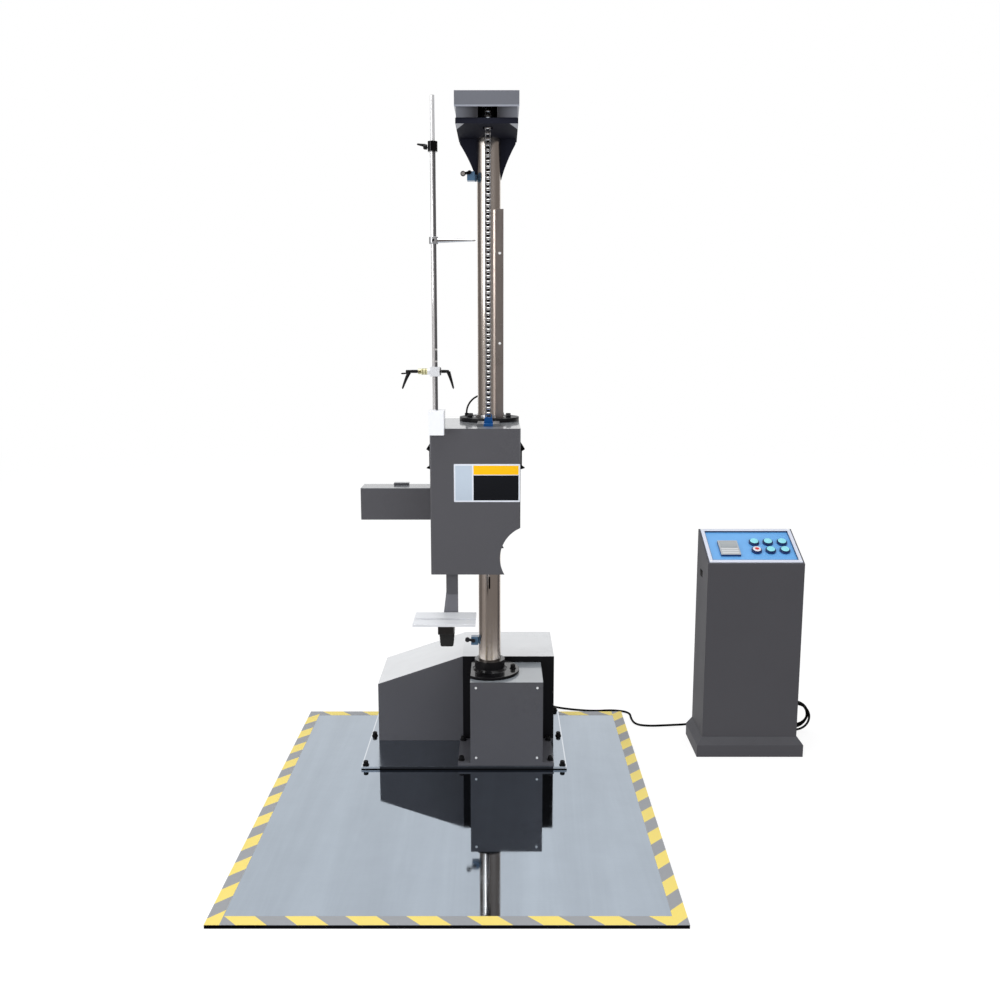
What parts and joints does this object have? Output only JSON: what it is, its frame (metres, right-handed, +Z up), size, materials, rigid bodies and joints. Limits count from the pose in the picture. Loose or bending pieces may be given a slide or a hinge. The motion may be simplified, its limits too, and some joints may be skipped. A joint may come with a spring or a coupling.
{
  "type": "single arm drop tester",
  "caption": "Column-guided drop test machine with chain-lifted carriage, slotted drop arm, impact plate with hazard border and separate control console.",
  "frame": {"origin": "centre of the impact plate's underside, on the floor", "axes": "+X to the right seen from the operator, +Y away from the operator, +Z up along the column"},
  "size_m": [1.877, 1.4625, 2.141],
  "materials": {
    "polished_plate": "polished blue-grey steel",
    "hazard_tape": "yellow and grey hazard tape",
    "pale_plate": "glossy pale grey",
    "grey_paint": "fine textured grey powder coat",
    "console_paint": "fine textured grey powder coat",
    "black_steel": "black satin",
    "dark_steel": "oiled",
    "bright_steel": "bright",
    "chrome": "hard chrome",
    "chain_steel": "bright rollers",
    "machine_blue": "blue enamel",
    "switch_blue": "blue enamel",
    "anchor_blue": "bright blue",
    "aluminium": "machined",
    "black_plastic": "satin",
    "black_rubber": "matt",
    "white_paint": "satin white",
    "panel_blue": "printed overlay",
    "display_grey": "moulded",
    "bezel_blue": "moulded",
    "button_cyan": "lit cap",
    "button_red": "lit cap"
  },
  "bodies": {
    "base": {"backing_panel": "black_steel", "base_bolts": "black_steel", "base_idler_bracket": "black_steel", "button_bezels": "bezel_blue", "cable_glands": "black_plastic", "column": "chrome", "column_collar": "black_steel", "console_body": "console_paint", "console_rear_panel": "console_paint", "control_cable": "black_rubber", "control_cable_coil": "black_rubber", "control_panel": "panel_blue", "display_unit": "display_grey", "edge_tape": "hazard_tape", "gear_motor": "machine_blue", "guide_rail": "bright_steel", "head_bracket": "black_steel", "impact_plate": "polished_plate", "lift_chain": "chain_steel", "limit_switches": "switch_blue", "motor_cabinet": "grey_paint", "mounting_plate": "pale_plate", "panel_frame": "white_paint", "pedestal": "grey_paint", "return_chain": "chain_steel", "small_screws": "bright_steel", "sprocket_frame": "black_steel", "top_hood": "grey_paint"},
    "carriage": {"carriage_housing": "grey_paint", "carriage_bushing": "bright_steel", "top_disc": "black_steel", "side_handles": "black_plastic", "chain_anchor": "anchor_blue", "air_hose": "black_rubber", "cross_tube": "grey_paint", "arm_cylinder": "aluminium", "mast_block": "aluminium", "mast_tube": "chrome"},
    "drop_arm": {"arm_bar": "grey_paint", "specimen_slats": "aluminium", "rubber_foot": "black_rubber", "piston_rod": "chrome"},
    "mast_rod": {"mast_rod": "chrome"},
    "rod_clamp_lever": {"rod_clamp_lever": "black_plastic"},
    "cross_clamp": {"cross_clamp": "aluminium"},
    "left_clamp_lever": {"left_clamp_lever": "black_plastic"},
    "right_clamp_lever": {"right_clamp_lever": "black_plastic"},
    "holding_finger": {"holding_finger": "chrome"},
    "front_idler": {"front_idler_sprocket": "dark_steel"},
    "rear_idler": {"rear_idler_sprocket": "dark_steel"},
    "base_idler": {"base_idler_sprocket": "dark_steel"},
    "drive_wheel": {"drive_sprocket": "dark_steel"},
    "upper_switch_lever": {"upper_switch_lever": "bright_steel"},
    "lower_switch_lever": {"lower_switch_lever": "bright_steel"},
    "button_up": {"button_up": "button_cyan"},
    "button_down": {"button_down": "button_cyan"},
    "button_reset": {"button_reset": "button_cyan"},
    "button_drop": {"button_drop": "button_red"},
    "button_home": {"button_home": "button_cyan"},
    "button_power": {"button_power": "button_cyan"}
  },
  "joints": [
    {"name": "carriage_lift", "type": "slide", "parent": "base", "child": "carriage", "axis": [0, 0, 1], "range_m": [-0.3, 0.72], "deforming": ["lift_chain", "return_chain"]},
    {"name": "front_idler_spin", "type": "hinge", "parent": "base", "child": "front_idler", "pos_m": [0.095, 0.16169, 2.1], "axis": [1, 0, 0], "range_deg": [-1612, 675]},
    {"name": "rear_idler_spin", "type": "hinge", "parent": "base", "child": "rear_idler", "pos_m": [0.095, 0.28031, 2.1], "axis": [1, 0, 0], "range_deg": [-1612, 675]},
    {"name": "base_idler_spin", "type": "hinge", "parent": "base", "child": "base_idler", "pos_m": [0.095, 0.33169, 0.18], "axis": [1, 0, 0], "range_deg": [-675, 1612]},
    {"name": "drive_spin", "type": "hinge", "parent": "base", "child": "drive_wheel", "pos_m": [0.095, 0.52, 0.12863], "axis": [1, 0, 0], "range_deg": [-1612, 675]},
    {"name": "arm_drop", "type": "slide", "parent": "carriage", "child": "drop_arm", "axis": [0, 0, 1], "range_m": [-0.18, 0]},
    {"name": "mast_extension", "type": "slide", "parent": "carriage", "child": "mast_rod", "axis": [0, 0, 1], "range_m": [-0.12, 0.25]},
    {"name": "rod_clamp_turn", "type": "hinge", "parent": "carriage", "child": "rod_clamp_lever", "pos_m": [-0.08, 0.024, 1.977], "axis": [1, 0, 0], "range_deg": [-90, 90]},
    {"name": "cross_clamp_slide", "type": "slide", "parent": "carriage", "child": "cross_clamp", "axis": [0, 0, 1], "range_m": [-0.08, 0.32]},
    {"name": "left_clamp_turn", "type": "hinge", "parent": "cross_clamp", "child": "left_clamp_lever", "pos_m": [-0.12, 0.024, 1.339], "axis": [1, 0, 0], "range_deg": [-90, 90]},
    {"name": "right_clamp_turn", "type": "hinge", "parent": "cross_clamp", "child": "right_clamp_lever", "pos_m": [-0.027, 0.024, 1.339], "axis": [1, 0, 0], "range_deg": [-90, 90]},
    {"name": "finger_swivel", "type": "hinge", "parent": "carriage", "child": "holding_finger", "pos_m": [-0.062, 0.024, 1.717], "axis": [0, 0, 1], "range_deg": [-90, 90]},
    {"name": "upper_switch_turn", "type": "hinge", "parent": "base", "child": "upper_switch_lever", "pos_m": [0.036, 0.272, 1.946], "axis": [0, 1, 0], "range_deg": [0, 15], "stiffness_Nm_per_rad": 0.4},
    {"name": "lower_switch_turn", "type": "hinge", "parent": "base", "child": "lower_switch_lever", "pos_m": [0.041, 0.294, 0.424], "axis": [0, 1, 0], "range_deg": [-15, 0], "stiffness_Nm_per_rad": 0.4},
    {"name": "button_up_press", "type": "slide", "parent": "base", "child": "button_up", "axis": [0, 0.421, -0.907], "range_m": [0, 0.0035], "stiffness_N_per_m": 400},
    {"name": "button_down_press", "type": "slide", "parent": "base", "child": "button_down", "axis": [0, 0.421, -0.907], "range_m": [0, 0.0035], "stiffness_N_per_m": 400},
    {"name": "button_reset_press", "type": "slide", "parent": "base", "child": "button_reset", "axis": [0, 0.421, -0.907], "range_m": [0, 0.0035], "stiffness_N_per_m": 400},
    {"name": "button_drop_press", "type": "slide", "parent": "base", "child": "button_drop", "axis": [0, 0.421, -0.907], "range_m": [0, 0.0035], "stiffness_N_per_m": 400},
    {"name": "button_home_press", "type": "slide", "parent": "base", "child": "button_home", "axis": [0, 0.421, -0.907], "range_m": [0, 0.0035], "stiffness_N_per_m": 400},
    {"name": "button_power_press", "type": "slide", "parent": "base", "child": "button_power", "axis": [0, 0.421, -0.907], "range_m": [0, 0.0035], "stiffness_N_per_m": 400}
  ],
  "couplings": [
    {"joint": "front_idler_spin", "follows": "carriage_lift", "rad_per_m": -38.931},
    {"joint": "rear_idler_spin", "follows": "carriage_lift", "rad_per_m": -38.931},
    {"joint": "base_idler_spin", "follows": "carriage_lift", "rad_per_m": 38.931},
    {"joint": "drive_spin", "follows": "carriage_lift", "rad_per_m": -38.931}
  ]
}
